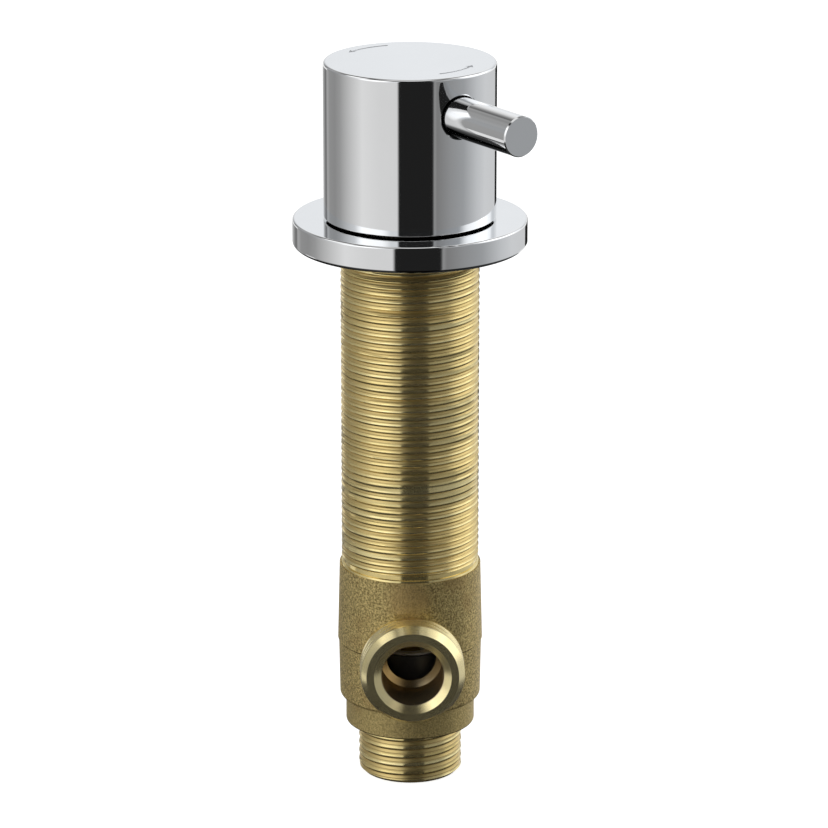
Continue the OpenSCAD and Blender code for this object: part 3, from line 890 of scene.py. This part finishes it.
def makeKnob():
    k = knobShape
    low, high = boxCorners("knob")
    radius = high[0]
    edge = k["rimRound"]
    bottom = low[2] - k["rim"]
    down = k["buffedDown"]
    shell = lathe(
        [(k["cavity"], bottom)]
        + arc(radius - edge, bottom + edge, edge, -90, 0, 6)
        + arc(radius - k["buffedIn"], high[2] - down, k["buffedIn"], 0, 90, 12, down)
        + [(0, high[2]), (0, k["ceiling"]), (k["cavity"], k["ceiling"])],
        k["steps"],
    )
    hubTop = k["ceiling"] + k["overlap"]
    hub = lathe([(0, k["hubBottom"]), (k["hub"], k["hubBottom"]), (k["hub"], hubTop), (0, hubTop)])
    bossEnd = k["cavity"] + k["overlap"]
    boss = turned(lathe([(0, 0), (k["boss"], 0), (k["boss"], bossEnd), (0, bossEnd)]), toLever)
    boreFoot = k["hubBottom"] - spare
    hubBore = lathe([(0, boreFoot), (k["insert"], boreFoot), (k["insert"], k["ceiling"]), (0, k["ceiling"])])
    seatFloor = radius - k["seatDepth"]
    seat = turned(lathe([
        (0, 0), (k["tailRadius"], 0), (k["tailRadius"], seatFloor), (k["seat"], seatFloor),
        (k["seat"], radius + spare), (0, radius + spare),
    ]), toLever)
    bevel = turned(bevelCutter(radius), toLever)
    arrows = [arrowTool(arrow, high[2] - k["arrowDepth"], high[2] + spare) for arrow in k["arrows"]]
    cutters = [hubBore, seat, bevel, *arrows]
    mesh = carve(shell, ("UNION", hub), ("UNION", boss), *[("DIFFERENCE", cutter) for cutter in cutters])
    soften(mesh)
    newPiece("knob_shell", mesh, chrome, "handle", "chrome", "knob")
    # The arrows' floors are etched, and the lever's seat gets painted shade
    mesh.materials.append(etched)
    mesh.materials.append(seatShade)
    fromLever = toLever.inverted()
    for face in mesh.polygons:
        sunk = (high[2] - face.center.z / mm) / k["arrowDepth"]
        if face.normal.z > 0.9 and 0.5 < sunk < 1.5:
            face.material_index = 1
        inSeat = fromLever @ face.center / mm
        if 0 < inSeat.z < radius and inSeat.xy.length < k["seat"] + 0.01:
            face.material_index = 2


def makeLever():
    v = leverShape
    seat = boxCorners("knob")[1][0] - knobShape["seatDepth"]
    c = v["tailChamfer"]
    outline = [
        (0, v["tailStart"]), (v["tail"] - c, v["tailStart"]), (v["tail"], v["tailStart"] + c),
        (v["tail"], seat), (v["radius"], seat), (v["radius"], v["reach"] - v["chamferLength"]),
        (v["radius"] - v["chamfer"], v["reach"]), (0, v["reach"]),
    ]
    mesh = turned(lathe(outline, v["steps"]), toLever)
    soften(mesh)
    newPiece("lever", mesh, chrome, "handle", "chrome", "lever_pin")


def makeEscutcheon():
    e = escutcheonShape
    high = boxCorners("escutcheon")[1]
    radius = high[0]
    r = e["round"]
    t = e["topRound"]
    mesh = lathe(
        [(e["bore"], 0), (e["gasketInner"], 0), (e["gasketInner"], e["gasketHeight"])]
        + [(e["gasketOuter"], e["gasketHeight"]), (e["gasketOuter"], 0)]
        + arc(radius - r, r, r, -90, 0, 10)
        + arc(radius - t, high[2] - t, t, 0, 90, 10)
        + [(e["bore"], high[2])],
        e["steps"],
    )
    soften(mesh)
    newPiece("escutcheon_plate", mesh, chrome, "valve", "chrome", "escutcheon")


makeKnob()
makeLever()
makeEscutcheon()
print("chrome parts made")


# What lies inside keeps its own meshes

innerFinish = {
    "escutcheon_gasket": rubber,
    "gland_bush": innerBrass,
    "gland_o_ring": rubber,
    "cartridge_housing": innerBrass,
    "housing_o_ring": rubber,
    "disc_cage": blackPlastic,
    "fixed_disc": ceramic,
    "seat_seal": rubber,
    "seal_support_ring": whitePlastic,
    "spline_insert": whitePlastic,
    "extension_spindle": innerBrass,
    "thrust_washer": whitePlastic,
    "coupling_pin": steel,
    "cartridge_stem": innerBrass,
    "stem_o_rings": rubber,
    "friction_washer": whitePlastic,
    "stop_washer": steel,
    "stem_circlip": steel,
    "moving_disc": ceramic,
}
for name, finish in innerFinish.items():
    for held in cadNodes[name].material_slots:
        held.material = finish
print("inner parts finished")


# The studio: a grey tent all round with a black card at the camera, round softboxes and a few low cards

studio = {
    # The tent at the height that upright chrome mirrors: degrees to the right of the camera, how bright, how
    # cool. The black card goes from 14.5 degrees left of the camera to 30.5 degrees right
    "belt": [
        (-180, 0.80, 0), (-170, 0.66, 0), (-160, 0.38, 0), (-152, 0.20, 0), (-147, 0.15, 0), (-143, 0.38, 0),
        (-139, 0.37, 0), (-134, 0.29, 0), (-118, 0.27, 0), (-106, 0.33, 0), (-96, 0.44, 0), (-66, 0.76, 0),
        (-40, 0.70, 0), (-16.5, 0.69, 0), (-14.5, 0.014, 0), (30.5, 0.014, 0), (32.5, 0.30, 0), (36, 0.21, 0),
        (55, 0.29, 0.3), (75, 0.35, 0.5), (100, 0.56, 0.4), (118, 0.65, 0.3), (150, 0.62, 0.2),
        (157, 0.70, 0), (180, 0.80, 0),
    ],
    # What that is multiplied by: degrees above the horizon, how bright, how cool
    "heights": [
        (-90, 0.04, 0), (-34, 0.05, 0), (-28, 0.20, 0), (-23, 0.95, 0), (-20, 1.0, 0), (4, 1.0, 0),
        (10, 1.08, 0.4), (18, 1.10, 0.4), (22, 1.22, 0.2), (34, 1.20, 0), (40, 0.75, 0), (50, 0.35, 0),
        (56, 0.04, 0), (90, 0.02, 0),
    ],
    # What a wholly cool light adds to red, green and blue
    "cool": (-0.06, 0.0, 0.07),
    # Degrees to the right, degrees up, how many degrees it reaches out, how bright
    "softboxes": [
        (-52, 19, 27, 0.42), (-98, 48, 18, 0.95), (98, 22, 30, 0.60), (122, 12, 20, 0.42),
        (106, 50, 20, 0.90), (0, 90, 28, 0.80), (-44, 42, 15, 0.55), (52, 42, 15, 0.30),
    ],
    # The share of a softbox that is evenly bright
    "softboxCore": 0.4,
    # From and to which degrees to the right, from and to which degrees up, how bright. A later card covers an
    # earlier one
    "cards": [
        (-177, -138, -11, 4, 0.90), (118, 178, -11, 4, 0.95), (153, 172, -16.6, -4, 0.015),
        (-126, -108, -26, -16.2, 0.80), (140, 180, -26, -16.2, 0.90),
    ],
    # How soft a card's edges are, as a share of the whole round
    "cardEdge": 0.004,
    "floorGlow": 0.80,
    "floorTone": 0.86,
    "floorSize": 6,
}


# Stops of a colour ramp, for angles in degrees that start at first and cover span
def rampStops(rows, first, span):
    cool = Vector(studio["cool"])
    return [
        ((angle - first) / span, tuple(bright * (1 + cool[i] * tint) for i in range(3)))
        for angle, bright, tint in rows
    ]


def makeWorld():
    world = bpy.data.worlds.new("studio")
    bpy.context.scene.world = world
    s = Shader(world)
    x, y, z = s.split(s.node("ShaderNodeTexCoord")[0])
    turn = math.radians(cameraSetup["azimuth"])
    right = x * math.cos(turn) + y * math.sin(turn)
    near = x * math.sin(turn) - y * math.cos(turn)
    around = right.atan2(near) / (2 * math.pi) + 0.5
    height = z.math("ARCSINE", z) / math.pi + 0.5
    belt = rampStops(studio["belt"], -180, 360)
    heights = rampStops(studio["heights"], -90, 180)
    beltLight = s.node("ShaderNodeValToRGB", {"stops": belt}, {0: around})[0]
    heightLight = s.node("ShaderNodeValToRGB", {"stops": heights}, {0: height})[0]
    tent = s.mix(1, beltLight, heightLight, "MULTIPLY")
    for azimuth, rise, width, bright in studio["softboxes"]:
        a = math.radians(azimuth)
        e = math.radians(rise)
        facing = right * (math.sin(a) * math.cos(e)) + near * (math.cos(a) * math.cos(e)) + z * math.sin(e)
        rim = math.cos(math.radians(width))
        core = math.cos(math.radians(width * studio["softboxCore"]))
        shine = facing.step(rim, core) * bright
        tent = s.mix(1, tent, s.join(shine, shine, shine), "ADD")
    edge = studio["cardEdge"]
    for start, end, low, high, bright in studio["cards"]:
        left = (start + 180) / 360
        far = (end + 180) / 360
        foot = (low + 90) / 180
        head = (high + 90) / 180
        across = around.step(left, left + edge) * (1 - around.step(far - edge, far))
        upright = height.step(foot, foot + edge) * (1 - height.step(head - edge, head))
        tent = s.mix(across * upright, tent, (bright, bright, bright))
    # The camera itself sees plain white
    seen = s.node("ShaderNodeLightPath")[0]
    light = s.node("ShaderNodeBackground", None, {0: s.mix(seen, tent, (1, 1, 1)), 1: 1})[0]
    s.node("ShaderNodeOutputWorld", None, {0: light})


# The floor glows where the camera sees it, and chrome doesn't mirror it
def makeFloor():
    size = studio["floorSize"] / 2
    height = boxCorners("valve_body")[0][2] * mm
    corners = [(-size, -size, height), (size, -size, height), (size, size, height), (-size, size, height)]
    mesh = bpy.data.meshes.new("floor")
    mesh.from_pydata(corners, [], [(0, 1, 2, 3)])
    m = newMaterial("paleFloor")
    tone = (studio["floorTone"],) * 3
    seen = m.node("ShaderNodeLightPath")[0]
    paper = m.node("ShaderNodeBsdfDiffuse", None, {0: (*tone, 1)})[0]
    glow = m.node("ShaderNodeEmission", None, {0: (1, 1, 1, 1), 1: studio["floorGlow"]})[0]
    lit = m.node("ShaderNodeAddShader", None, {0: paper, 1: glow})[0]
    mesh.materials.append(m.finish(m.node("ShaderNodeMixShader", None, {0: seen, 1: paper, 2: lit})[0]))
    floor = bpy.data.objects.new("floor", mesh)
    bpy.context.scene.collection.objects.link(floor)
    floor.visible_glossy = False


makeWorld()
makeFloor()
bpy.context.scene.view_settings.view_transform = "Standard"
print("studio lit")
